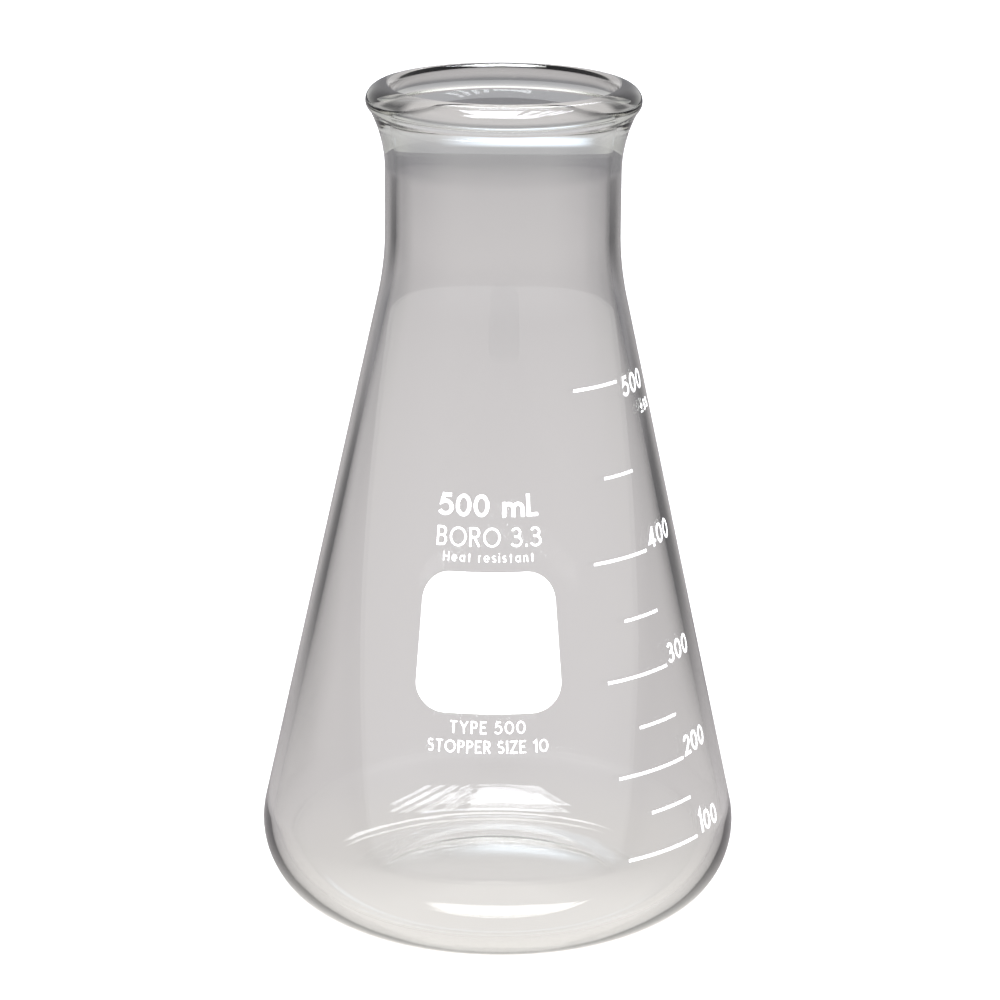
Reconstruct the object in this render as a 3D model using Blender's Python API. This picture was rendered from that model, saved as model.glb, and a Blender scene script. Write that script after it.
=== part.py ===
"""Conical (Erlenmeyer) flask, 500 mL, one blown glass vessel with fired enamel marks.

Metres, +Z up. The flask stands on z = 0 with its axis on the z axis, and the marking spot
looks towards -Y. Azimuths are counted from -Y towards +X.
"""
import bpy
import bmesh
from math import cos, hypot, pi, radians, sin, tan

# Glass vessel, outer surface
BODY_RADIUS = 0.0505          # widest point, at the height of the heel's centre
HEEL_RADIUS = 0.0180          # rounded corner between side and bottom
CONE_SLOPE = radians(12.26)   # side against the axis
NECK_RADIUS = 0.02445
NECK_BLEND_RADIUS = 0.0660    # soft curve between cone and neck
FLARE_START_HEIGHT = 0.1592   # where the neck starts to open
FLARE_RADIUS = 0.0284
FLARE_ANGLE = radians(25.4)
BEAD_CENTRE_RADIUS = 0.02580  # heavy rim bead, an oval in section
BEAD_CENTRE_HEIGHT = 0.17445
BEAD_HALF_WIDTH = 0.00268
BEAD_HALF_HEIGHT = 0.00305
BEAD_OUTER_ANGLE = radians(-62)
BEAD_INNER_ANGLE = radians(200)

# Glass vessel, wall and bottom
WALL = 0.0023
FLOOR_THICKNESS = 0.0034
INNER_HEEL_RADIUS = 0.0155
RESTING_RING_RADIUS = 0.0270  # inner edge of the flat ring that the flask stands on
PUSH_UP_RISE = 0.0030         # how far the bottom is domed upwards
INNER_FLARE_HEIGHT = 0.1610
TURN_SEGMENTS = 60

# Fired enamel marks
ENAMEL_GAP = 0.0003           # clearance kept to the glass
ENAMEL_THICKNESS = 0.0003
STRIP_WIDTH = 0.0030          # widest flat stretch of a mark that is bent round the cone
LABEL_AZIMUTH = radians(-3.3)
LABEL_HEIGHT = 0.0696         # middle of the marking spot
PRINT_TURN = 0.016            # the whole print is turned a little in the glass, in radians
SPOT_WIDTH = 0.0290
SPOT_HEIGHT = 0.0288          # along the slanted side
SPOT_CORNER = 0.0062
CAPACITY_BASELINE = 0.09475
CAPACITY_CAP_HEIGHT = 0.0045
CAPACITY_PEN = 0.20           # stroke width as a share of the cap height
CAPACITY_SPACES = (0.11, 0.37)  # between two glyphs, and a blank, as shares of the cap height
LINE_WIDTH = 0.0007
LINE_END_AZIMUTH = radians(56.8)
LINE_END_HEIGHT = 0.0400      # where a line ends at that azimuth
LONG_LINE_ANGLE = radians(24.1)
SHORT_LINE_ANGLE = radians(15.3)
NUMERAL_CAP_HEIGHT = 0.0042
NUMERAL_PEN = 0.17
NUMERAL_SPACES = (0.16, 0.0)
NUMERAL_OFFSETS = {           # from the line's end to the first digit
    100: 0.0015, 200: 0.0010, 300: 0.0010, 400: 0.0013, 500: 0.0018,
}
NUMERAL_DROPS = {500: 0.0036}  # a numeral that stands lower than its line
GRADUATION_HEIGHTS = {
    100: 0.02350, 150: 0.03185, 200: 0.04025, 250: 0.04945, 300: 0.05980,
    350: 0.07135, 400: 0.08390, 450: 0.10045, 500: 0.11885,
}
ARC_STEP = radians(24)        # longest step along a curved stroke of a glyph


def clear_scene():
    for old in list(bpy.data.objects):
        bpy.data.objects.remove(old, do_unlink=True)


def plain_material(name, colour, roughness, transmission=0.0):
    material = bpy.data.materials.new(name)
    material.use_nodes = True
    shader = material.node_tree.nodes["Principled BSDF"]
    shader.inputs["Base Color"].default_value = (*colour, 1.0)
    shader.inputs["Roughness"].default_value = roughness
    shader.inputs["Metallic"].default_value = 0.0
    shader.inputs["Transmission Weight"].default_value = transmission
    return material


def add_object(name, mesh, material):
    mesh.materials.clear()
    mesh.materials.append(material)
    mesh.shade_smooth()
    mesh.set_sharp_from_angle(angle=radians(35))
    piece = bpy.data.objects.new(name, mesh)
    bpy.context.collection.objects.link(piece)
    return piece


def arc(centre_x, centre_y, radius_x, radius_y, start, end, steps):
    """Points along an oval arc, both ends included."""
    points = []
    for i in range(steps + 1):
        angle = start + (end - start) * i / steps
        points.append((centre_x + radius_x * cos(angle), centre_y + radius_y * sin(angle)))
    return points


# ---- Glass vessel: a closed section turned round the axis

def side_arcs(offset, heel_radius, heel_x, heel_z):
    """The side's section from heel to neck, bottom to top, offset inwards from the outer face."""
    blend = NECK_BLEND_RADIUS + offset
    neck_x = NECK_RADIUS + NECK_BLEND_RADIUS
    cone_x = BODY_RADIUS - HEEL_RADIUS + HEEL_RADIUS * cos(CONE_SLOPE)
    cone_z = HEEL_RADIUS + HEEL_RADIUS * sin(CONE_SLOPE)
    blend_start_x = neck_x - NECK_BLEND_RADIUS * cos(CONE_SLOPE)
    blend_start_z = cone_z + (cone_x - blend_start_x) / tan(CONE_SLOPE)
    blend_z = blend_start_z + NECK_BLEND_RADIUS * sin(CONE_SLOPE)
    heel = arc(heel_x, heel_z, heel_radius, heel_radius, -pi / 2, CONE_SLOPE, 8)
    neck = arc(neck_x, blend_z, blend, blend, pi + CONE_SLOPE, pi, 5)
    return heel + neck


def push_up(radius):
    """Height of the underside's shallow dome at a radius."""
    return PUSH_UP_RISE * max(0.0, 1 - (radius / RESTING_RING_RADIUS) ** 2)


def vessel_section():
    """From the middle of the inner floor, up inside, over the rim and down outside."""
    heel_x = BODY_RADIUS - HEEL_RADIUS
    inner_heel_z = FLOOR_THICKNESS + INNER_HEEL_RADIUS
    slack = HEEL_RADIUS - WALL - INNER_HEEL_RADIUS
    inner_heel_x = heel_x + (slack - (inner_heel_z - HEEL_RADIUS) * sin(CONE_SLOPE)) / cos(CONE_SLOPE)

    floor_steps = [RESTING_RING_RADIUS * i / 4 for i in range(5)]
    section = [(x, push_up(x) + FLOOR_THICKNESS) for x in floor_steps]
    section += side_arcs(WALL, INNER_HEEL_RADIUS, inner_heel_x, inner_heel_z)

    bead = arc(BEAD_CENTRE_RADIUS, BEAD_CENTRE_HEIGHT, BEAD_HALF_WIDTH, BEAD_HALF_HEIGHT,
               BEAD_INNER_ANGLE, BEAD_OUTER_ANGLE, 13)
    lip_x, lip_z = bead[0]
    neck_x = NECK_RADIUS - WALL
    for i in range(4):
        share = i / 4
        ease = share * share * (3 - 2 * share)
        height = INNER_FLARE_HEIGHT + (lip_z - INNER_FLARE_HEIGHT) * share
        section.append((neck_x + (lip_x - neck_x) * ease, height))
    section += bead

    flare_x = NECK_RADIUS + FLARE_RADIUS
    section += arc(flare_x, FLARE_START_HEIGHT, FLARE_RADIUS, FLARE_RADIUS, pi - FLARE_ANGLE, pi, 5)
    section += reversed(side_arcs(0.0, HEEL_RADIUS, heel_x, HEEL_RADIUS))
    section += [(x, push_up(x)) for x in reversed(floor_steps)]
    return section


def turned_vessel(material):
    mesh = bpy.data.meshes.new("flask_body")
    section = vessel_section()
    edges = [(i, i + 1) for i in range(len(section) - 1)]
    mesh.from_pydata([(x, 0.0, z) for x, z in section], edges, [])
    piece = add_object("flask_body", mesh, material)
    screw = piece.modifiers.new("turn", "SCREW")
    screw.steps = TURN_SEGMENTS
    screw.render_steps = TURN_SEGMENTS
    screw.use_merge_vertices = True
    screw.merge_threshold = 0.00001
    screw.use_smooth_shade = True
    return piece


# ---- Enamel marks: flat outlines with a thickness, bent onto the cone

def cone_radius(height):
    cone_x = BODY_RADIUS - HEEL_RADIUS + HEEL_RADIUS * cos(CONE_SLOPE)
    cone_z = HEEL_RADIUS + HEEL_RADIUS * sin(CONE_SLOPE)
    return cone_x - (height - cone_z) * tan(CONE_SLOPE)


def prism(outline, closed_inside=None):
    """A flat solid from an outline drawn anticlockwise, with an optional hole of as many points."""
    bm = bmesh.new()
    low, high = [[[bm.verts.new((x, y, z)) for x, y in loop]
                  for loop in (outline, closed_inside) if loop]
                 for z in (0.0, ENAMEL_THICKNESS)]
    count = len(outline)
    for i in range(count):
        j = (i + 1) % count
        bm.faces.new((low[0][i], low[0][j], high[0][j], high[0][i]))
        if closed_inside:
            bm.faces.new((low[1][j], low[1][i], high[1][i], high[1][j]))
            bm.faces.new((high[0][i], high[0][j], high[1][j], high[1][i]))
            bm.faces.new((low[0][j], low[0][i], low[1][i], low[1][j]))
    if not closed_inside:
        bm.faces.new(high[0])
        bm.faces.new(list(reversed(low[0])))
    mesh = bpy.data.meshes.new("mark")
    bm.to_mesh(mesh)
    bm.free()
    return mesh


def pen_outline(points, pen, side):
    """One side of a stroke of the given width, mitred at its corners."""
    border = []
    for i, (x, y) in enumerate(points):
        before = points[max(i - 1, 0)]
        after = points[min(i + 1, len(points) - 1)]
        in_x, in_y = x - before[0], y - before[1]
        out_x, out_y = after[0] - x, after[1] - y
        if i == 0:
            in_x, in_y = out_x, out_y
        if i == len(points) - 1:
            out_x, out_y = in_x, in_y
        in_length, out_length = hypot(in_x, in_y), hypot(out_x, out_y)
        normal_x = in_y / in_length + out_y / out_length
        normal_y = -in_x / in_length - out_x / out_length
        reach = side * pen / (normal_x * normal_x + normal_y * normal_y)
        border.append((x + normal_x * reach, y + normal_y * reach))
    return border


def stroke(points, pen):
    """The solid of one open pen stroke."""
    return prism(pen_outline(points, pen, 1) + pen_outline(points, pen, -1)[::-1])


def ring(centre_x, centre_y, radius_x, radius_y, pen):
    """The solid of one closed oval pen stroke."""
    steps = round(2 * pi / ARC_STEP) + 1
    half = pen / 2
    outside = arc(centre_x, centre_y, radius_x + half, radius_y + half, 0, 2 * pi, steps)[:-1]
    inside = arc(centre_x, centre_y, radius_x - half, radius_y - half, 0, 2 * pi, steps)[:-1]
    return prism(outside, inside)


def bow(centre_x, centre_y, radius_x, radius_y, start, end):
    """Points of a curved stretch of a stroke, angles in degrees."""
    steps = max(1, round(abs(radians(end - start)) / ARC_STEP))
    return arc(centre_x, centre_y, radius_x, radius_y, radians(start), radians(end), steps)


def glyph_strokes(name, cap, pen):
    """Width of a glyph and its strokes' solids, for a geometric sans-serif of one pen width."""
    low, high = pen / 2, cap - pen / 2
    if name == "0":
        width = 0.72 * cap
        return width, [ring(width / 2, cap / 2, width / 2 - low, high - cap / 2, pen)]
    if name == "1":
        width = 0.36 * cap
        stem = width - low
        return width, [stroke([(low, cap * 0.80), (stem, cap * 0.97), (stem, 0)], pen)]
    if name == "2":
        width = 0.60 * cap
        radius = width / 2 - low
        head = bow(width / 2, high - radius, radius, radius, 175, -38)
        return width, [stroke(head + [(pen * 0.95, low), (width, low)], pen)]
    if name == "3":
        width = 0.60 * cap
        top, bottom = 0.22 * cap, 0.285 * cap
        waist = high - 2 * top + pen * 0.25
        upper = bow(width / 2 - pen * 0.2, high - top, top, top, 160, -90)
        lower = bow(width / 2 - pen * 0.1, low + bottom, bottom - low / 2, bottom, 90, -160)
        bar = [(width * 0.30, waist), (width * 0.62, waist)]
        return width, [stroke(upper, pen), stroke(lower, pen), stroke(bar, pen)]
    if name == "4":
        width = 0.74 * cap
        stem = width * 0.72
        frame = [(width, cap * 0.25), (pen * 0.9, cap * 0.25), (stem, cap * 0.93)]
        return width, [stroke(frame, pen), stroke([(stem, cap), (stem, 0)], pen)]
    if name == "5":
        width = 0.62 * cap
        radius = 0.29 * cap
        bowl = bow(width - low - radius, low + radius, radius, radius, 118, -148)
        return width, [stroke([(width * 0.92, high), (width * 0.36, high)] + bowl, pen)]
    if name == "m":
        height = 0.66 * cap
        span = 0.40 * cap
        radius = span / 2
        strokes = [stroke([(low, 0), (low, height)], pen)]
        for foot in (low, low + span):
            arch = bow(foot + radius, height - low - radius, radius, radius, 180, 0)
            strokes.append(stroke([(foot, 0.02 * cap)] + arch + [(foot + span, 0)], pen))
        return 2 * span + pen, strokes
    width = 0.50 * cap
    return width, [stroke([(low, cap), (low, low), (width, low)], pen)]


def joined(solids):
    """One closed mesh from solids that overlap."""
    base = bpy.data.objects.new("base", solids[0])
    bpy.context.collection.objects.link(base)
    helpers = [base]
    for solid in solids[1:]:
        other = bpy.data.objects.new("other", solid)
        bpy.context.collection.objects.link(other)
        helpers.append(other)
        union = base.modifiers.new("union", "BOOLEAN")
        union.operation = "UNION"
        union.solver = "EXACT"
        union.object = other
    bpy.context.view_layer.update()
    shape = base.evaluated_get(bpy.context.evaluated_depsgraph_get())
    mesh = bpy.data.meshes.new_from_object(shape)
    for helper in helpers:
        bpy.data.objects.remove(helper, do_unlink=True)
    return mesh


def bent_mark(name, mesh, azimuth, height, material):
    """Wraps a flat solid round the cone: its (0, 0) goes to the azimuth and height given."""
    bm = bmesh.new()
    bm.from_mesh(mesh)
    left = min(v.co.x for v in bm.verts)
    right = max(v.co.x for v in bm.verts)
    cuts = int((right - left) / STRIP_WIDTH)
    for i in range(1, cuts + 1):
        place = left + (right - left) * i / (cuts + 1)
        everything = bm.verts[:] + bm.edges[:] + bm.faces[:]
        bmesh.ops.bisect_plane(bm, geom=everything, dist=0.00002,
                               plane_co=(place, 0, 0), plane_no=(1, 0, 0))
    bmesh.ops.triangulate(bm, faces=bm.faces[:])
    turn_radius = cone_radius(height)
    for vertex in bm.verts:
        x, y, depth = vertex.co
        angle = azimuth + x / turn_radius
        stand_off = ENAMEL_GAP + depth
        level = height + y * cos(CONE_SLOPE)
        radius = cone_radius(level) + stand_off * cos(CONE_SLOPE)
        vertex.co = (radius * sin(angle), -radius * cos(angle), level + stand_off * sin(CONE_SLOPE))
    shape = bpy.data.meshes.new(name)
    bm.to_mesh(shape)
    bm.free()
    return add_object(name, shape, material)


def placed(mesh, shift_x, turn):
    """Moves a flat mark sideways, then turns it a little anticlockwise about (0, 0)."""
    for vertex in mesh.vertices:
        x, y = vertex.co.x + shift_x, vertex.co.y
        vertex.co.x, vertex.co.y = x - turn * y, y + turn * x
    return mesh


def marking_spot(material):
    half_x, half_y = SPOT_WIDTH / 2 - SPOT_CORNER, SPOT_HEIGHT / 2 - SPOT_CORNER
    outline = []
    for quarter, (side_x, side_y) in enumerate(((1, 1), (-1, 1), (-1, -1), (1, -1))):
        start = quarter * pi / 2
        outline += arc(side_x * half_x, side_y * half_y, SPOT_CORNER, SPOT_CORNER,
                       start, start + pi / 2, 6)
    mesh = placed(prism(outline), 0.0, PRINT_TURN)
    bent_mark("marking_spot", mesh, LABEL_AZIMUTH, LABEL_HEIGHT, material)


def written(text, names, cap, pen_share, spaces, azimuth, height, material, centred, turn=0.0):
    """A row of glyphs bent onto the cone, each its own solid and node, named in order."""
    pen = cap * pen_share
    gap, blank = cap * spaces[0], cap * spaces[1]
    letters = [None if letter == " " else glyph_strokes(letter, cap, pen) for letter in text]
    widths = [item[0] if item else blank for item in letters]
    place = -(sum(widths) + gap * (len(widths) - 1)) / 2 if centred else 0.0
    names = iter(names)
    for item, width in zip(letters, widths):
        if item:
            mesh = placed(joined(item[1]), place, turn)
            bent_mark(next(names), mesh, azimuth, height, material)
        place += width + gap


def drifted(azimuth, level, height):
    """Where the print's turn takes an azimuth at one level to at another height."""
    return azimuth - PRINT_TURN * (height - level) / cone_radius(height)


def capacity_mark(material):
    names = ["capacity_digit_5", "capacity_digit_0_first", "capacity_digit_0_second",
             "capacity_letter_m", "capacity_letter_l"]
    azimuth = drifted(LABEL_AZIMUTH, LABEL_HEIGHT, CAPACITY_BASELINE)
    written("500 mL", names, CAPACITY_CAP_HEIGHT, CAPACITY_PEN, CAPACITY_SPACES, azimuth,
            CAPACITY_BASELINE, material, centred=True, turn=PRINT_TURN)


def graduation(volume, height, material):
    """A line round the cone at one height, with its numeral at every hundred."""
    numbered = volume % 100 == 0
    angle = LONG_LINE_ANGLE if numbered else SHORT_LINE_ANGLE
    length = angle * cone_radius(height)
    half = LINE_WIDTH / 2
    mesh = prism([(-length, -half), (0, -half), (0, half), (-length, half)])
    azimuth = drifted(LINE_END_AZIMUTH, LINE_END_HEIGHT, height)
    bent_mark(f"line_{volume}", mesh, azimuth, height, material)
    if numbered:
        azimuth += NUMERAL_OFFSETS[volume] / cone_radius(height)
        height -= NUMERAL_DROPS.get(volume, 0.0)
        names = [f"numeral_{volume}_{place}" for place in ("hundreds", "tens", "ones")]
        written(str(volume), names, NUMERAL_CAP_HEIGHT, NUMERAL_PEN, NUMERAL_SPACES, azimuth,
                height, material, centred=False)


clear_scene()
glass = plain_material("glass", (0.93, 0.95, 0.95), 0.02, transmission=1.0)
enamel = plain_material("enamel_white", (0.92, 0.92, 0.91), 0.45)
turned_vessel(glass)
marking_spot(enamel)
capacity_mark(enamel)
for volume, height in GRADUATION_HEIGHTS.items():
    graduation(volume, height, enamel)
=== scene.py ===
"""Looks of a 500 mL conical laboratory flask: clear borosilicate glass with fired white enamel marks.

Metres, +Z up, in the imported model's own frame: the flask stands on z = 0 with its axis on the z
axis, and its marking spot looks towards -Y.
"""

from math import atan2, cos, hypot, pi, radians, sin, tan

import bmesh
import bpy
from mathutils import Matrix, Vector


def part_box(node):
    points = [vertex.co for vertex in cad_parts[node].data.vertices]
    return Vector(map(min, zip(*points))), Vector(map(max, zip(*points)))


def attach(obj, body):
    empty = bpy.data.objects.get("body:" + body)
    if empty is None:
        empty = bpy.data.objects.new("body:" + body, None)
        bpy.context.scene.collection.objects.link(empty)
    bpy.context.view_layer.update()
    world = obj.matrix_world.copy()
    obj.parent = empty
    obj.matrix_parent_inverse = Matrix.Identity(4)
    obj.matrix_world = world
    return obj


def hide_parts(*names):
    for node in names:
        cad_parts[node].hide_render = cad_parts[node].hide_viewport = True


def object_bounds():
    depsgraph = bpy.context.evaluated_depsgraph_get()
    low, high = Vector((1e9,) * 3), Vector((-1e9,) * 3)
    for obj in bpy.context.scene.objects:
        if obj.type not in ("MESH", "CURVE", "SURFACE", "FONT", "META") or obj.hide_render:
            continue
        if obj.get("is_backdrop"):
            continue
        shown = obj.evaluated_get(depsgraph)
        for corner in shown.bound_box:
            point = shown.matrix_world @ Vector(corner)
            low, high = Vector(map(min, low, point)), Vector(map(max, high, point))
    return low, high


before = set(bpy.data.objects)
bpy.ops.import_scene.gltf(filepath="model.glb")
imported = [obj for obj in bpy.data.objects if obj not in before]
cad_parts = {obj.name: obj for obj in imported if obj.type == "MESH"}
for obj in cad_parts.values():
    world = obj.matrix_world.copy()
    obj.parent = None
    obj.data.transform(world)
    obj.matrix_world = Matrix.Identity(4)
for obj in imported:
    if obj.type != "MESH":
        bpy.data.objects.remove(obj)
cad_low, cad_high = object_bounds()


# ---- Camera
# A long lens on a stand higher than the rim, that looks slightly down on the flask and is turned
# by half a degree in its mount.

CAMERA_PLACE = (-0.0001, -0.8047, 0.3223)
CAMERA_DIP = radians(16.2)
CAMERA_TURN = radians(0.495)
SENSOR_WIDTH = 36.0
LENS_LENGTH = 142.9


def placed(name, data):
    """An object of this name in the scene, made of the given camera or mesh."""
    thing = bpy.data.objects.new(name, data)
    bpy.context.collection.objects.link(thing)
    return thing


camera_data = bpy.data.cameras.new("camera")
camera_data.sensor_width = SENSOR_WIDTH
camera_data.lens = LENS_LENGTH
camera = placed("camera", camera_data)
camera.matrix_world = (Matrix.Translation(CAMERA_PLACE)
                       @ Matrix.Rotation(pi / 2 - CAMERA_DIP, 4, "X")
                       @ Matrix.Rotation(CAMERA_TURN, 4, "Z"))
bpy.context.scene.camera = camera


# ---- Studio surroundings
# The room as the glass meets it: low down it is grey behind, paler at the sides and bright in
# front, then come mid grey walls, a grey ceiling and the lamps that hang under it. The camera
# itself sees a white backdrop.

# The places of a Mix node's sockets when it mixes colours.
MIX_FACTOR, MIX_FIRST, MIX_SECOND = 0, 6, 7
MIX_RESULT = 2


class Wire:
    """A shader socket in an expression: sums of wires and numbers add Math nodes."""

    def __init__(self, tree, socket=None):
        self.tree = tree
        self.socket = socket

    def node(self, kind, settings=None, inputs=None, output=0):
        """Adds a node: its settings first, then its sockets' values or links."""
        made = self.tree.nodes.new(kind)
        for name, value in (settings or {}).items():
            setattr(made, name, value)
        for name, value in (inputs or {}).items():
            if isinstance(value, Wire):
                self.tree.links.new(value.socket, made.inputs[name])
            else:
                made.inputs[name].default_value = value
        return Wire(self.tree, made.outputs[output]) if len(made.outputs) else made

    def math(self, operation, *values):
        """Adds a Math node that works on these wires or numbers."""
        return self.node("ShaderNodeMath", {"operation": operation}, dict(enumerate(values)))

    def part(self, axis):
        """One of the three parts of a vector."""
        return self.node("ShaderNodeSeparateXYZ", None, {0: self}, axis)

    def __add__(self, other):
        return self.math("ADD", self, other)

    def __sub__(self, other):
        return self.math("SUBTRACT", self, other)

    def __rsub__(self, other):
        return self.math("SUBTRACT", other, self)

    def __mul__(self, other):
        return self.math("MULTIPLY", self, other)

    def __truediv__(self, other):
        return self.math("DIVIDE", self, other)

    __radd__ = __add__
    __rmul__ = __mul__

    def ease(self, start, end):
        """0 below start and 1 above end, with a soft step between."""
        return self.node("ShaderNodeMapRange", {"interpolation_type": "SMOOTHSTEP"},
                         {"Value": self, "From Min": start, "From Max": end})

    def between(self, start, end, soft):
        """1 from start to end and 0 outside, with soft edges."""
        return self.ease(start - soft, start + soft) * (1.0 - self.ease(end - soft, end + soft))

    def mix(self, first, second):
        """The first colour where this is 0, the second where it is 1."""
        first, second = [colour if isinstance(colour, Wire) else (*colour, 1.0)
                         for colour in (first, second)]
        return self.node("ShaderNodeMix", {"data_type": "RGBA"},
                         {MIX_FACTOR: self, MIX_FIRST: first, MIX_SECOND: second}, MIX_RESULT)


BACKDROP_WHITE = (1.0, 1.0, 1.0)

# A wall of the flask has two faces: a ray that has passed three is in or through the second wall.
ENTERED_GLASS = (0.4, 0.6)
MET_SECOND_WALL = (2.4, 2.6)

# Bearings count from straight behind the flask, to the right as positive, and heights from the
# horizon. Two angles are the start and end of a soft step; a third number is an edge's softness.
BACK_GREY = (0.36, 0.36, 0.38)
BACK_BEARINGS = (radians(4), radians(18))
SIDE_GREY = (0.55, 0.55, 0.54)
SIDE_MIRRORED = (1.15, 1.15, 1.13)
FRONT_GLOW = (1.55, 1.55, 1.57)
FRONT_BEARINGS = (radians(60), radians(140))
WALL_GREY = (0.66, 0.65, 0.67)
WALL_HEIGHTS = (radians(-4), radians(22))
CEILING_GREY = (0.54, 0.54, 0.56)
CEILING_HEIGHTS = (radians(35), radians(75))
WINDOW_BLUE = (1.15, 1.26, 1.42)
WINDOW_BEARINGS = (radians(-2), radians(7), radians(3))
WINDOW_HEIGHTS = (radians(3), radians(11), radians(2))

# The lamps lie in one flat plane overhead. Their edges are measured sideways (X) and away from
# the camera (Y) in units of that plane's height, and end with the softness of the edge. The
# louvre's slats follow a sine along X.
OVERHEAD = (0.05, 0.1)
SOFTBOX_GLOW = (16.0, 16.4, 17.4)
SOFTBOX_X = (-0.33, 0.66, 0.010)
SOFTBOX_Y = (-0.44, 0.18, 0.010)
LOUVRE_PACE = 50.0
LOUVRE_GAP = (-0.1, 0.4)
LOUVRE_START = (0.02, 0.10)
FRONT_END_X = (-0.55, 0.52, 0.02)
FRONT_END_Y = (-1.00, -0.44, 0.02)
BAR_GLOW = (7.0, 7.4, 8.2)
BAR_X = (-0.15, 0.27, 0.03)
BAR_Y = (0.40, 0.50, 0.010)
BAR_LOUVRE = 0.8
REAR_LAMP_GLOW = (7.0, 7.1, 7.3)
REAR_LAMP_X = (-0.24, 0.46, 0.05)
REAR_LAMP_Y = (0.66, 0.93, 0.02)
REAR_LAMP_BOW = 1.6

world = bpy.data.worlds.new("studio")
bpy.context.scene.world = world
world.use_nodes = True
world.node_tree.nodes.clear()
start = Wire(world.node_tree)
heading = start.node("ShaderNodeTexCoord", output="Generated")
east = heading.part("X")
north = heading.part("Y")
up = heading.part("Z")
bearing = start.math("ARCTAN2", east, north)
turn_from_back = start.math("ABSOLUTE", bearing)
height = start.math("ARCSINE", up)
mirrored = start.node("ShaderNodeLightPath", output="Is Reflection Ray")
faces_passed = start.node("ShaderNodeLightPath", output="Transmission Depth")
through_both = faces_passed.ease(*MET_SECOND_WALL)
off_the_outside = 1.0 - faces_passed.ease(*ENTERED_GLASS)

to_back = 1.0 - turn_from_back.ease(*BACK_BEARINGS)
to_front = turn_from_back.ease(*FRONT_BEARINGS)
side = mirrored.mix(SIDE_GREY, SIDE_MIRRORED)
low = to_front.mix(to_back.mix(side, BACK_GREY), FRONT_GLOW)
room = height.ease(*WALL_HEIGHTS).mix(low, WALL_GREY)
room = height.ease(*CEILING_HEIGHTS).mix(room, CEILING_GREY)

# A far window just over the horizon behind, met only through both walls of the flask.
window = bearing.between(*WINDOW_BEARINGS) * height.between(*WINDOW_HEIGHTS) * through_both
room = window.mix(room, WINDOW_BLUE)

# The softbox hangs over the flask with a louvre across its right part. Its front end shows only
# in the outer face of the glass, and a bar and a bowed lamp hang behind it.
ceiling_x = east / up
ceiling_y = north / up
overhead = up.ease(*OVERHEAD)
louvre = start.math("SINE", ceiling_x * LOUVRE_PACE).ease(*LOUVRE_GAP) * ceiling_x.ease(*LOUVRE_START)
softbox = ceiling_x.between(*SOFTBOX_X) * ceiling_y.between(*SOFTBOX_Y) * (1.0 - louvre) * overhead
room = softbox.mix(room, SOFTBOX_GLOW)
front_end = ceiling_x.between(*FRONT_END_X) * ceiling_y.between(*FRONT_END_Y) * off_the_outside * overhead
room = front_end.mix(room, SOFTBOX_GLOW)
bar = ceiling_x.between(*BAR_X) * ceiling_y.between(*BAR_Y) * (1.0 - louvre * BAR_LOUVRE) * overhead
room = bar.mix(room, BAR_GLOW)
bowed_y = ceiling_y - ceiling_x * ceiling_x * REAR_LAMP_BOW
rear_lamp = ceiling_x.between(*REAR_LAMP_X) * bowed_y.between(*REAR_LAMP_Y) * overhead
room = rear_lamp.mix(room, REAR_LAMP_GLOW)

seen = start.node("ShaderNodeLightPath", output="Is Camera Ray")
sky = seen.mix(room, BACKDROP_WHITE)
light = start.node("ShaderNodeBackground", None, {"Color": sky, "Strength": 1.0})
start.node("ShaderNodeOutputWorld", None, {"Surface": light})


# ---- Floor
# A seamless sheet of pale matte laminate, laid flat far round the flask, that glows white to the camera.
# To the glass it glows a painted grey: grey behind, pale in front, and painted shade nearly black
# behind on the left and right in place of two flags, which gives clear glass its dark sides.

FLOOR_REACH = 4.0
FLOOR_SEGMENTS = 96
LAMINATE_GREY = (0.30, 0.30, 0.30)
FLOOR_UNDER = (0.625, 0.595, 0.588)
FLOOR_NEAR = (0.575, 0.548, 0.558)
FLOOR_FAR = (0.20, 0.195, 0.21)
FLOOR_FRONT_NEAR = (0.77, 0.74, 0.73)
FLOOR_FRONT_FAR = (0.97, 0.95, 0.95)
FLOOR_FRONT_MIRRORED = (2.00, 1.95, 1.88)
PAINTED_SHADE_BLACK = (0.01, 0.01, 0.012)

# Distances from the flask's axis, in metres, and bearings from straight behind it, over which one
# painted grey eases into the next. The bearings of the painted flag shade end with the softness of their
# edges.
UNDER_TO_NEAR = (0.03, 0.09)
NEAR_TO_FAR = (0.20, 1.50)
FRONT_NEAR_TO_FAR = (0.08, 1.60)
FLOOR_BACK_BEARINGS = (radians(8), radians(16))
FLOOR_FRONT_BEARINGS = (radians(70), radians(140))
PAINTED_FLAG_BEARINGS = ((radians(21), radians(54), radians(10)), (radians(-70), radians(-27), radians(10)))
PAINTED_FLAG_START = (0.035, 0.42)
PAINTED_FLAG_FADE = (0.60, 1.10)

# How much of its painted black shade a painted flag or the floor behind keeps, for rays of each kind.
BACK_SHADE_THROUGH_ONE = 0.2
PAINTED_FLAG_THROUGH_BOTH = 0.88
PAINTED_FLAG_THROUGH_ONE = 0.86
PAINTED_FLAG_MIRRORED_LOSS = 0.30
PAINTED_FLAG_FADE_LOSS = 0.85


def mesh_of(name, bm):
    """A mesh of this name from a finished bmesh."""
    mesh = bpy.data.meshes.new(name)
    bm.to_mesh(mesh)
    bm.free()
    return mesh


def blank_material(name):
    """A material with no nodes yet, and a wire to start them from."""
    material = bpy.data.materials.new(name)
    material.use_nodes = True
    material.node_tree.nodes.clear()
    return material, Wire(material.node_tree)


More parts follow.
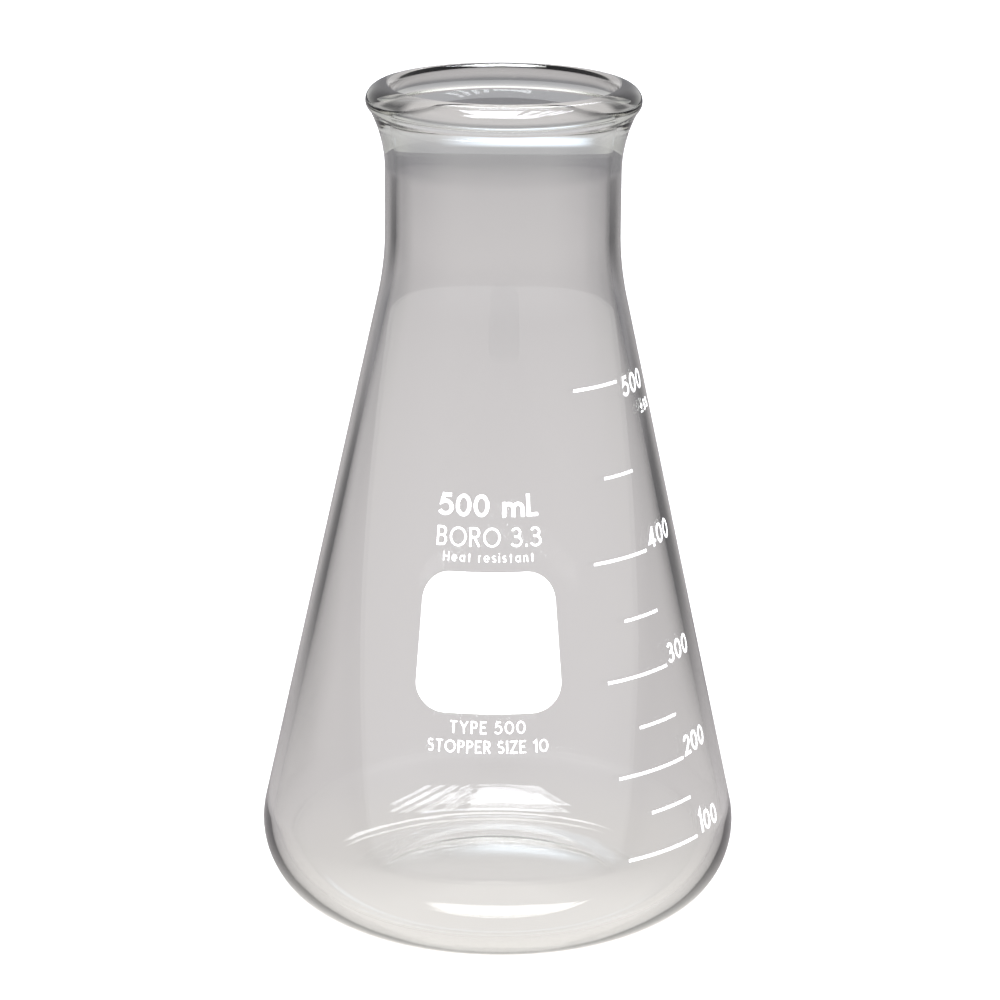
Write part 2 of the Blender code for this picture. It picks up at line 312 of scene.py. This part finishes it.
floor_shape = bmesh.new()
bmesh.ops.create_circle(floor_shape, cap_ends=True, segments=FLOOR_SEGMENTS, radius=FLOOR_REACH)
floor = placed("floor", mesh_of("floor", floor_shape))
floor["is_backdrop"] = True

laminate, start = blank_material("floor_laminate")
place = start.node("ShaderNodeNewGeometry", output="Position")
away = start.node("ShaderNodeVectorMath", {"operation": "LENGTH"}, {0: place}, "Value")
bearing = start.math("ARCTAN2", place.part("X"), place.part("Y"))
turn_from_back = start.math("ABSOLUTE", bearing)
mirrored = start.node("ShaderNodeLightPath", output="Is Reflection Ray")
faces_passed = start.node("ShaderNodeLightPath", output="Transmission Depth")
through_both = faces_passed.ease(*MET_SECOND_WALL)

# Painted greys that the floor glows to rays off or through the glass: paler near the flask, darker far
# off, with painted shade behind it for rays through one wall.
grey = away.ease(*UNDER_TO_NEAR).mix(FLOOR_UNDER, FLOOR_NEAR)
grey = away.ease(*NEAR_TO_FAR).mix(grey, FLOOR_FAR)
to_back = 1.0 - turn_from_back.ease(*FLOOR_BACK_BEARINGS)
through_one = (1.0 - through_both) * (1.0 - mirrored)
grey = (through_one * to_back * BACK_SHADE_THROUGH_ONE).mix(grey, PAINTED_SHADE_BLACK)
# In front the floor glows pale, and brighter still to rays mirrored off the glass: a painted reflection.
front_near = mirrored.mix(FLOOR_FRONT_NEAR, FLOOR_FRONT_MIRRORED)
front = away.ease(*FRONT_NEAR_TO_FAR).mix(front_near, FLOOR_FRONT_FAR)
grey = turn_from_back.ease(*FLOOR_FRONT_BEARINGS).mix(grey, front)

# Painted shade: the floor glows nearly black at two bearings behind the flask, where flags would stand.
right_painted_shade, left_painted_shade = [bearing.between(*bearings) for bearings in PAINTED_FLAG_BEARINGS]
seen_through = through_both * (1.0 - mirrored)
faded = 1.0 - away.ease(*PAINTED_FLAG_FADE) * PAINTED_FLAG_FADE_LOSS
less_mirrored = PAINTED_FLAG_THROUGH_ONE - mirrored * PAINTED_FLAG_MIRRORED_LOSS
painted_shade_depth = seen_through * PAINTED_FLAG_THROUGH_BOTH + (1.0 - seen_through) * faded * less_mirrored
grey = ((right_painted_shade + left_painted_shade) * away.ease(*PAINTED_FLAG_START) * painted_shade_depth).mix(grey, PAINTED_SHADE_BLACK)

# The floor glows white for camera rays and with the painted greys for every other ray.
seen = start.node("ShaderNodeLightPath", output="Is Camera Ray")
matte = start.node("ShaderNodeBsdfPrincipled", None, {
    "Base Color": seen.mix((0.0, 0.0, 0.0), LAMINATE_GREY), "Roughness": 0.8,
    "Specular IOR Level": 0.1, "Emission Color": seen.mix(grey, BACKDROP_WHITE),
    "Emission Strength": 1.0})
start.node("ShaderNodeOutputMaterial", None, {"Surface": matte})
floor.data.materials.append(laminate)


# ---- Glass body
# One piece of blown borosilicate glass, spun while soft: a thin even wall, a rounded heel round a
# shallow domed bottom, and a heavy bead round the mouth that was folded and fire polished.

BODY_RADIUS = cad_high.x
RIM_HEIGHT = cad_high.z
HEEL_RADIUS = 0.0180
CONE_SLOPE = radians(12.26)
NECK_RADIUS = 0.02445
NECK_BLEND_RADIUS = 0.0660
FLARE_START_HEIGHT = 0.1592
FLARE_RADIUS = 0.0284
FLARE_ANGLE = radians(25.4)
BEAD_OUTER_RADIUS = 0.02848
BEAD_CREST_RADIUS = 0.02428
BEAD_INNER_RADIUS = 0.02312
BEAD_INNER_DROP = 0.0018
BEAD_OUTER_DROP = 0.0034
BEAD_UNDER_WIDTH = 0.00268
BEAD_UNDER_HEIGHT = 0.00265
BEAD_UNDER_ANGLE = radians(-62)
WALL = 0.0023
FLOOR_THICKNESS = 0.0034
INNER_HEEL_RADIUS = 0.0155
RESTING_RING_RADIUS = 0.0270
PUSH_UP_RISE = 0.0030
INNER_FLARE_HEIGHT = 0.1610
GLASS_SEGMENTS = 288
HEEL_STEP = radians(3)
NECK_STEP = radians(0.7)
BEAD_STEP = radians(6)
BEAD_CREST_STEP = radians(4)
FLARE_STEP = radians(2)
SIDE_STEPS = 40
BOTTOM_STEPS = 24
MOUTH_STEPS = 16
ON_AXIS = 1e-6
GLASS_EDGE_ANGLE = radians(30)

HEEL_X = BODY_RADIUS - HEEL_RADIUS
CONE_FOOT_X = HEEL_X + HEEL_RADIUS * cos(CONE_SLOPE)
CONE_FOOT_Z = HEEL_RADIUS + HEEL_RADIUS * sin(CONE_SLOPE)


def arc(centre_x, centre_y, radius_x, radius_y, start, end, step):
    """Points along an oval arc, both ends included."""
    count = max(2, round(abs(end - start) / step))
    turn = (end - start) / count
    return [(centre_x + radius_x * cos(start + turn * i), centre_y + radius_y * sin(start + turn * i))
            for i in range(count + 1)]


def side_section(offset, heel_radius, heel_x, heel_z):
    """The side's section from heel to neck, set inwards from the outer face by the offset."""
    blend = NECK_BLEND_RADIUS + offset
    blend_x = NECK_RADIUS + NECK_BLEND_RADIUS
    start_x = blend_x - NECK_BLEND_RADIUS * cos(CONE_SLOPE)
    start_z = CONE_FOOT_Z + (CONE_FOOT_X - start_x) / tan(CONE_SLOPE)
    blend_z = start_z + NECK_BLEND_RADIUS * sin(CONE_SLOPE)
    heel = arc(heel_x, heel_z, heel_radius, heel_radius, -pi / 2, CONE_SLOPE, HEEL_STEP)
    neck = arc(blend_x, blend_z, blend, blend, pi + CONE_SLOPE, pi, NECK_STEP)
    (low_x, low_z), (high_x, high_z) = heel[-1], neck[0]
    straight = [(low_x + (high_x - low_x) * i / SIDE_STEPS, low_z + (high_z - low_z) * i / SIDE_STEPS)
                for i in range(1, SIDE_STEPS)]
    return heel + straight + neck


def push_up(radius):
    """How far the domed bottom stands off the table at this distance from the axis."""
    return PUSH_UP_RISE * max(0.0, 1 - (radius / RESTING_RING_RADIUS) ** 2)


def glass_section():
    """From the middle of the inner floor, up inside, over the bead and down outside."""
    inner_heel_z = FLOOR_THICKNESS + INNER_HEEL_RADIUS
    slack = HEEL_RADIUS - WALL - INNER_HEEL_RADIUS
    inner_heel_x = HEEL_X + (slack - (inner_heel_z - HEEL_RADIUS) * sin(CONE_SLOPE)) / cos(CONE_SLOPE)
    bottom = [RESTING_RING_RADIUS * i / BOTTOM_STEPS for i in range(BOTTOM_STEPS + 1)]
    section = [(x, push_up(x) + FLOOR_THICKNESS) for x in bottom]
    section += side_section(WALL, INNER_HEEL_RADIUS, inner_heel_x, inner_heel_z)
    outer_z = RIM_HEIGHT - BEAD_OUTER_DROP
    bead = arc(BEAD_CREST_RADIUS, RIM_HEIGHT - BEAD_INNER_DROP, BEAD_CREST_RADIUS - BEAD_INNER_RADIUS,
               BEAD_INNER_DROP, pi, pi / 2, BEAD_STEP)
    bead += arc(BEAD_CREST_RADIUS, outer_z, BEAD_OUTER_RADIUS - BEAD_CREST_RADIUS, BEAD_OUTER_DROP,
                pi / 2, 0, BEAD_CREST_STEP)[1:]
    bead += arc(BEAD_OUTER_RADIUS - BEAD_UNDER_WIDTH, outer_z, BEAD_UNDER_WIDTH, BEAD_UNDER_HEIGHT,
                0, BEAD_UNDER_ANGLE, BEAD_STEP)[1:]
    lip_x, lip_z = bead[0]
    neck_x = NECK_RADIUS - WALL
    for i in range(MOUTH_STEPS):
        share = i / MOUTH_STEPS
        ease = share * share * (3 - 2 * share)
        section.append((neck_x + (lip_x - neck_x) * ease,
                        INNER_FLARE_HEIGHT + (lip_z - INNER_FLARE_HEIGHT) * share))
    section += bead
    section += arc(NECK_RADIUS + FLARE_RADIUS, FLARE_START_HEIGHT, FLARE_RADIUS, FLARE_RADIUS,
                   pi - FLARE_ANGLE, pi, FLARE_STEP)
    section += reversed(side_section(0.0, HEEL_RADIUS, HEEL_X, HEEL_RADIUS))
    section += [(x, push_up(x)) for x in reversed(bottom[:-1])]
    return section


def turned(name, section, segments):
    """A closed solid turned round the z axis from a section that starts and ends on it."""
    bm = bmesh.new()
    rings = []
    for x, z in section:
        if x < ON_AXIS:
            rings.append([bm.verts.new((0, 0, z))] * segments)
        else:
            turns = [2 * pi * i / segments for i in range(segments)]
            rings.append([bm.verts.new((x * cos(turn), x * sin(turn), z)) for turn in turns])
    for low, high in zip(rings, rings[1:]):
        for i in range(segments):
            j = (i + 1) % segments
            corners = [low[i], high[i], high[j], low[j]]
            bm.faces.new(list(dict.fromkeys(corners)))
    bmesh.ops.recalc_face_normals(bm, faces=bm.faces[:])
    mesh = mesh_of(name, bm)
    mesh.shade_smooth()
    mesh.set_sharp_from_angle(angle=GLASS_EDGE_ANGLE)
    return placed(name, mesh)


GLASS_IOR = 1.473
GLASS_ABSORBS = (0.70, 0.80, 0.45, 1.0)
GLASS_DENSITY = 11.0
STRIAE_STRETCH = (1.0, 1.0, 0.12)
STRIAE_RELIEF = 0.6
HAZE_PATCHES = (0.55, 0.85)
HAZE_ROUGHNESS = 0.02

# Blowing leaves faint upright striae and a slow ripple in the wall, and handling a trace of haze.
glass, start = blank_material("clear_borosilicate")
point = start.node("ShaderNodeTexCoord", output="Object")
drawn = start.node("ShaderNodeMapping", None, {"Vector": point, "Scale": STRIAE_STRETCH})
striae = start.node("ShaderNodeTexNoise", None, {"Vector": drawn, "Scale": 75.0, "Detail": 1.0})
ripple = start.node("ShaderNodeTexNoise", None, {"Vector": point, "Scale": 38.0, "Detail": 0.0})
relief = striae * STRIAE_RELIEF + ripple
surface = start.node("ShaderNodeBump", None, {"Strength": 1.0, "Distance": 0.00003, "Height": relief})
handling = start.node("ShaderNodeTexNoise", None, {"Vector": point, "Scale": 160.0, "Detail": 4.0})
haze = handling.ease(*HAZE_PATCHES) * HAZE_ROUGHNESS
clear = start.node("ShaderNodeBsdfPrincipled", None, {
    "Base Color": (1.0, 1.0, 1.0, 1.0), "Roughness": haze, "IOR": GLASS_IOR,
    "Transmission Weight": 1.0, "Normal": surface})
tint = start.node("ShaderNodeVolumeAbsorption", None, {"Color": GLASS_ABSORBS, "Density": GLASS_DENSITY})
start.node("ShaderNodeOutputMaterial", None, {"Surface": clear, "Volume": tint})

body = turned("glass_body", glass_section(), GLASS_SEGMENTS)
body.data.materials.append(glass)
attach(body, "root")
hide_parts("flask_body")


# ---- Enamel
# White ceramic enamel, screen printed on the outside and fired until it fused into the glass: a
# film a few hundredths of a millimetre thick with a faint grain from the mesh of the screen.

ENAMEL_ROOT = -0.00005
ENAMEL_FACE = 0.00005
STRIP_WIDTH = 0.0010
CUT_MERGE = 0.000002
ENAMEL_EDGE_ANGLE = radians(35)
PRINT_TURN = 0.016
ENAMEL_THIN = (0.90, 0.905, 0.91)
ENAMEL_FULL = (0.97, 0.97, 0.965)
ENAMEL_CLOUDS = (0.3, 0.7)
ENAMEL_ROUGHNESS = 0.42
GRAIN_ROUGHNESS = 0.16

# The small emission is a painted glow that lifts the white; it stands for light that the film scatters
# through from behind.
enamel, start = blank_material("fired_enamel")
point = start.node("ShaderNodeTexCoord", output="Object")
grain = start.node("ShaderNodeTexNoise", None, {"Vector": point, "Scale": 5200.0, "Detail": 2.0})
cloud = start.node("ShaderNodeTexNoise", None, {"Vector": point, "Scale": 240.0, "Detail": 3.0})
white = cloud.ease(*ENAMEL_CLOUDS).mix(ENAMEL_THIN, ENAMEL_FULL)
dull = ENAMEL_ROUGHNESS + grain * GRAIN_ROUGHNESS
tooth = start.node("ShaderNodeBump", None, {"Strength": 0.35, "Distance": 0.00002, "Height": grain})
fired = start.node("ShaderNodeBsdfPrincipled", None, {
    "Base Color": white, "Roughness": dull, "IOR": 1.52, "Normal": tooth,
    "Emission Color": (1.0, 1.0, 1.0, 1.0), "Emission Strength": 0.12})
start.node("ShaderNodeOutputMaterial", None, {"Surface": fired})


def cone_radius(height):
    """The outer radius of the sloping side at this height."""
    return CONE_FOOT_X - (height - CONE_FOOT_Z) * tan(CONE_SLOPE)


def prism(outline, hole=None):
    """A flat film from an anticlockwise outline, with an optional hole of as many points."""
    bm = bmesh.new()
    loops = [loop for loop in (outline, hole) if loop]
    low, high = [[[bm.verts.new((x, y, depth)) for x, y in loop] for loop in loops]
                 for depth in (ENAMEL_ROOT, ENAMEL_FACE)]
    for i in range(len(outline)):
        j = (i + 1) % len(outline)
        bm.faces.new((low[0][i], low[0][j], high[0][j], high[0][i]))
        if hole:
            bm.faces.new((low[1][j], low[1][i], high[1][i], high[1][j]))
            bm.faces.new((high[0][i], high[0][j], high[1][j], high[1][i]))
            bm.faces.new((low[0][j], low[0][i], low[1][i], low[1][j]))
    if not hole:
        bm.faces.new(high[0])
        bm.faces.new(low[0][::-1])
    return mesh_of("film", bm)


def joined(films):
    """One closed mesh from flat films that overlap."""
    helpers = []
    for film in films:
        helper = placed("film", film)
        if helpers:
            union = helpers[0].modifiers.new("union", "BOOLEAN")
            union.operation = "UNION"
            union.solver = "MANIFOLD"
            union.object = helper
        helpers.append(helper)
    bpy.context.view_layer.update()
    shape = helpers[0].evaluated_get(bpy.context.evaluated_depsgraph_get())
    mesh = bpy.data.meshes.new_from_object(shape)
    for helper in helpers:
        bpy.data.objects.remove(helper, do_unlink=True)
    return mesh


def fired_on(name, films, azimuth, height, turn=0.0):
    """Turns flat films a little and bends them round the cone, as one piece of enamel."""
    bm = bmesh.new()
    for film in films:
        bm.from_mesh(film)
    bmesh.ops.rotate(bm, verts=bm.verts[:], cent=(0, 0, 0), matrix=Matrix.Rotation(turn, 3, "Z"))
    left = min(v.co.x for v in bm.verts)
    right = max(v.co.x for v in bm.verts)
    cuts = int((right - left) / STRIP_WIDTH)
    for i in range(1, cuts + 1):
        place = left + (right - left) * i / (cuts + 1)
        bmesh.ops.bisect_plane(bm, geom=bm.verts[:] + bm.edges[:] + bm.faces[:], dist=CUT_MERGE,
                               plane_co=(place, 0, 0), plane_no=(1, 0, 0))
    bmesh.ops.triangulate(bm, faces=bm.faces[:])
    turn_radius = cone_radius(height)
    for vertex in bm.verts:
        x, y, depth = vertex.co
        angle = azimuth + x / turn_radius
        level = height + y * cos(CONE_SLOPE)
        radius = cone_radius(level) + depth * cos(CONE_SLOPE)
        vertex.co = (radius * sin(angle), -radius * cos(angle), level + depth * sin(CONE_SLOPE))
    mesh = mesh_of(name, bm)
    mesh.shade_smooth()
    mesh.set_sharp_from_angle(angle=ENAMEL_EDGE_ANGLE)
    mesh.materials.append(enamel)
    piece = placed(name, mesh)
    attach(piece, "root")
    return piece


def reach(node):
    """Azimuths of a mark's two ends and heights of its foot and top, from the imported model."""
    corners = [vertex.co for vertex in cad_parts[node].data.vertices]
    turns = [atan2(corner.x, -corner.y) for corner in corners]
    low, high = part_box(node)
    return min(turns), max(turns), low.z, high.z


# ---- Marking spot
# A rounded square of the same enamel, left matte so that it can be written on in pencil. It went
# on in one print with the words, so it shares their small turn.

SPOT_CORNER = 0.0062
SPOT_CORNER_STEP = radians(5)

spot_left, spot_right, spot_foot, spot_top = reach("marking_spot")
spot_middle = (spot_foot + spot_top) / 2
half_x = (spot_right - spot_left) / 2 * cone_radius(spot_middle) - SPOT_CORNER
half_y = (spot_top - spot_foot) / 2 / cos(CONE_SLOPE) - SPOT_CORNER
half_x, half_y = half_x - PRINT_TURN * half_y, half_y - PRINT_TURN * half_x
spot_outline = []
for quarter, (side_x, side_y) in enumerate(((1, 1), (-1, 1), (-1, -1), (1, -1))):
    turn = quarter * pi / 2
    spot_outline += arc(side_x * half_x, side_y * half_y, SPOT_CORNER, SPOT_CORNER,
                        turn, turn + pi / 2, SPOT_CORNER_STEP)
spot = fired_on("marking_spot_enamel", [prism(spot_outline)], (spot_left + spot_right) / 2,
                spot_middle, PRINT_TURN)
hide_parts("marking_spot")


# ---- Graduation lines
# Nine level strokes of enamel round the side, a long one at each hundred and a short one between,
# drawn a little thinner than their solids.

LINE_HALF_WIDTH = 0.41

for volume in range(100, 501, 50):
    left, right, foot, top = reach(f"line_{volume}")
    middle = (foot + top) / 2
    half_length = (right - left) / 2 * cone_radius(middle)
    half_width = (top - foot) * LINE_HALF_WIDTH / cos(CONE_SLOPE)
    stroke = prism([(-half_length, -half_width), (half_length, -half_width),
                    (half_length, half_width), (-half_length, half_width)])
    line = fired_on(f"line_{volume}_enamel", [stroke], (left + right) / 2, middle)
    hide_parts(f"line_{volume}")


# ---- Numerals and the capacity mark
# Letters in one even stroke of enamel, as a geometric sans-serif cut into the printing screen. The
# capacity stands over the marking spot, and a numeral ends each long line.

LETTER_STEP = radians(7)
X_HEIGHT = 0.66
MEETS_EDGE = 1e-7

# A glyph is a few pen strokes in a unit box that runs between the middles of its outermost
# strokes. In a stroke, two numbers are a point, six are an arc (its middle, two radii, and start
# and end in degrees), and four alone are a whole oval (its middle and two radii).
GLYPHS = {
    "0": [[(0.5, 0.5, 0.5, 0.5)]],
    "1": [[(0, 0.80), (1, 1), (1, 0)]],
    "2": [[(0.5, 0.72, 0.5, 0.28, 172, -38), (0, 0), (1, 0)]],
    "3": [[(0.46, 0.765, 0.44, 0.235, 155, -90)], [(0.46, 0.265, 0.54, 0.265, 90, -155)],
          [(0.24, 0.53), (0.52, 0.53)]],
    "4": [[(1, 0.22), (0, 0.22), (0.70, 0.97)], [(0.70, 1), (0.70, 0)]],
    "5": [[(0.94, 1), (0.30, 1), (0.45, 0.33, 0.55, 0.33, 122, -148)]],
    "m": [[(0, 0), (0, 1)], [(0, 0.1), (0.25, 0.56, 0.25, 0.44, 180, 0), (0.5, 0)],
          [(0.5, 0.1), (0.75, 0.56, 0.25, 0.44, 180, 0), (1, 0)]],
    "L": [[(0, 1), (0, 0), (1, 0)]],
    "B": [[(0, 0), (0, 1), (0.5, 0.765, 0.42, 0.235, 90, -90), (0, 0.53)],
          [(0.1, 0.53), (0.5, 0.265, 0.5, 0.265, 90, -90), (0, 0)]],
    "O": [[(0.5, 0.5, 0.5, 0.5)]],
    "R": [[(0, 0), (0, 1), (0.55, 0.75, 0.40, 0.25, 90, -90), (0, 0.5)], [(0.42, 0.5), (1, -0.03)]],
    "P": [[(0, 0), (0, 1), (0.55, 0.74, 0.45, 0.26, 90, -90), (0, 0.48)]],
    "E": [[(1, 1), (0, 1), (0, 0), (1, 0)], [(0, 0.52), (0.9, 0.52)]],
    "H": [[(0, 0), (0, 1)], [(1, 0), (1, 1)], [(0, 0.52), (1, 0.52)]],
    "T": [[(0, 1), (1, 1)], [(0.5, 1), (0.5, 0)]],
    "S": [[(0.5, 0.76, 0.46, 0.24, 38, 270), (0.5, 0.26, 0.5, 0.26, 80, -142)]],
    "I": [[(0.5, 0), (0.5, 1)]],
    "Z": [[(0, 1), (1, 1), (0, 0), (1, 0)]],
    "Y": [[(0, 1.03), (0.5, 0.48)], [(1, 1.03), (0.5, 0.48), (0.5, 0)]],
    "e": [[(0, 0.35), (0.5, 0.35, 0.5, 0.35, 0, 312)]],
    "a": [[(0.5, 0.34, 0.5, 0.34)], [(1, 0), (1, 0.72)]],
    "t": [[(0.5, 0), (0.5, 0.96)], [(0.05, 0.68), (0.95, 0.68)]],
    "r": [[(0, 0), (0, 0.72)], [(0, 0.3), (0.6, 0.36, 0.6, 0.34, 180, 62)]],
    "s": [[(0.5, 0.52, 0.44, 0.17, 40, 270), (0.5, 0.175, 0.5, 0.175, 90, -145)]],
    "i": [[(0.5, 0), (0.5, 0.70)], [(0.5, 0.94), (0.5, 1.06)]],
    "n": [[(0, 0), (0, 0.72)], [(0, 0.1), (0.5, 0.36, 0.5, 0.34, 180, 0), (1, 0)]],
    ".": [[(0.5, 0), (0.5, 0.1)]],
    "±": [[(0, 0.6), (1, 0.6)], [(0.5, 0.28), (0.5, 0.92)], [(0, 0.02), (1, 0.02)]],
    "%": [[(0.17, 0.78, 0.17, 0.22)], [(0.83, 0.22, 0.17, 0.22)],
          [(0.82, 1), (0.18, 0)]],
}
GLYPH_WIDTHS = {
    "0": 0.72, "1": 0.36, "3": 0.58, "5": 0.62, "B": 0.54, "O": 0.88, "R": 0.56, "P": 0.53, "E": 0.50,
    "H": 0.68, "I": 0.00, "S": 0.52, "T": 0.56, "Y": 0.70, "Z": 0.58, "e": 0.60, "a": 0.58, "t": 0.40,
    "r": 0.32, "s": 0.42, "i": 0.00, "n": 0.50, ".": 0.00, "±": 0.60, "%": 0.80, " ": 0.22,
}


def pen_side(points, pen, side):
    """One side of a stroke of the pen's width, mitred at its corners."""
    border = []
    for i, (x, y) in enumerate(points):
        before, after = points[max(i - 1, 0)], points[min(i + 1, len(points) - 1)]
        steps = [step for step in ((x - before[0], y - before[1]), (after[0] - x, after[1] - y))
                 if hypot(*step) > 0]
        normals = [(step[1] / hypot(*step), -step[0] / hypot(*step)) for step in steps]
        normals = normals * 2 if len(normals) == 1 else normals
        normal_x, normal_y = normals[0][0] + normals[1][0], normals[0][1] + normals[1][1]
        length = side * pen / (normal_x ** 2 + normal_y ** 2)
        border.append((x + normal_x * length, y + normal_y * length))
    return border


def run_on(end, inner, box, pen):
    """Takes a stroke that meets the edge of its box squarely on by half a pen."""
    x, y = end
    step_x, step_y = x - inner[0], y - inner[1]
    if abs(step_x) < MEETS_EDGE and min(abs(y - edge) for edge in box[1]) < MEETS_EDGE:
        return x, y + pen / 2 * (1 if step_y > 0 else -1)
    if abs(step_y) < MEETS_EDGE and min(abs(x - edge) for edge in box[0]) < MEETS_EDGE:
        return x + pen / 2 * (1 if step_x > 0 else -1), y
    return end


def glyph_films(letter, width, height, pen):
    """The flat films of one letter's strokes, centred across and standing on y = 0."""
    span_x, span_y = max(width - pen, 0.0), height - pen
    box = ((-span_x / 2, span_x / 2), (pen / 2, height - pen / 2))
    films = []
    for strokes in GLYPHS[letter]:
        points = []
        for item in strokes:
            x, y = box[0][0] + item[0] * span_x, box[1][0] + item[1] * span_y
            if len(item) == 2:
                points.append((x, y))
            elif len(item) == 4:
                size_x, size_y = item[2] * span_x, item[3] * span_y
                outside = arc(x, y, size_x + pen / 2, size_y + pen / 2, 0, 2 * pi, LETTER_STEP)[:-1]
                inside = arc(x, y, size_x - pen / 2, size_y - pen / 2, 0, 2 * pi, LETTER_STEP)[:-1]
                films.append(prism(outside, inside))
            else:
                points += arc(x, y, item[2] * span_x, item[3] * span_y, radians(item[4]),
                              radians(item[5]), LETTER_STEP)
        if points:
            points[0] = run_on(points[0], points[1], box, pen)
            points[-1] = run_on(points[-1], points[-2], box, pen)
            films.append(prism(pen_side(points, pen, 1) + pen_side(points, pen, -1)[::-1]))
    return films


def one_glyph(node, letter, pen_share, turn=0.0):
    """Prints a glyph where its node is, at the node's width and height."""
    left, right, foot, top = reach(node)
    height = (top - foot) / cos(CONE_SLOPE)
    width = (right - left) * cone_radius(foot)
    cap = height if letter != "m" else height / X_HEIGHT
    film = joined(glyph_films(letter, width, height, cap * pen_share))
    piece = fired_on(f"{node}_enamel", [film], (left + right) / 2, foot, turn)
    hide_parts(node)


# The pens' widths, as shares of the height of a capital.
NUMERAL_PEN = 0.155
CAPACITY_PEN = 0.165

for volume in range(100, 501, 100):
    for digit, column in zip(str(volume), ("hundreds", "tens", "ones")):
        one_glyph(f"numeral_{volume}_{column}", digit, NUMERAL_PEN)
for node, letter in (("capacity_digit_5", "5"), ("capacity_digit_0_first", "0"),
                     ("capacity_digit_0_second", "0"), ("capacity_letter_m", "m"),
                     ("capacity_letter_l", "L")):
    one_glyph(node, letter, CAPACITY_PEN, PRINT_TURN)


# ---- Small print
# Generic words in the same enamel: the kind of glass and its use above the spot, the shape and
# the stopper below it, and the graduations' tolerance under the topmost numeral.

# Name, words, height of the foot, height of a capital, then the pen and the letter space as
# shares of that, the azimuth in degrees and the turn.
SMALL_PRINT = (
    ("print_glass", "BORO 3.3", 0.0888, 0.0040, 0.105, 0.155, -3.75, PRINT_TURN),
    ("print_use", "Heat resistant", 0.0858, 0.0019, 0.13, 0.28, -3.75, PRINT_TURN),
    ("print_shape", "TYPE 500", 0.0516, 0.0026, 0.125, 0.20, -2.9, PRINT_TURN),
    ("print_stopper", "STOPPER SIZE 10", 0.0477, 0.0026, 0.125, 0.165, -2.85, PRINT_TURN),
    ("print_tolerance", "±5%", 0.1105, 0.0024, 0.17, 0.25, 76.0, 0.0),
)

for name, words, foot, cap, pen_share, gap, degrees, turn in SMALL_PRINT:
    pen = cap * pen_share
    widths = [max(cap * GLYPH_WIDTHS[letter], pen) for letter in words]
    place = -(sum(widths) + cap * gap * (len(words) - 1)) / 2
    films = []
    for letter, width in zip(words, widths):
        if letter != " ":
            film = joined(glyph_films(letter, width, cap, pen))
            film.transform(Matrix.Translation((place + width / 2, 0, 0)))
            films.append(film)
        place += width + cap * gap
    fired_on(name, films, radians(degrees), foot, turn)


# ---- Picture and size
# The picture keeps the plain tones of the scene. The size of the whole object is measured
# before and after the visible pieces are made.

bpy.context.scene.view_settings.view_transform = "Standard"

low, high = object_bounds()
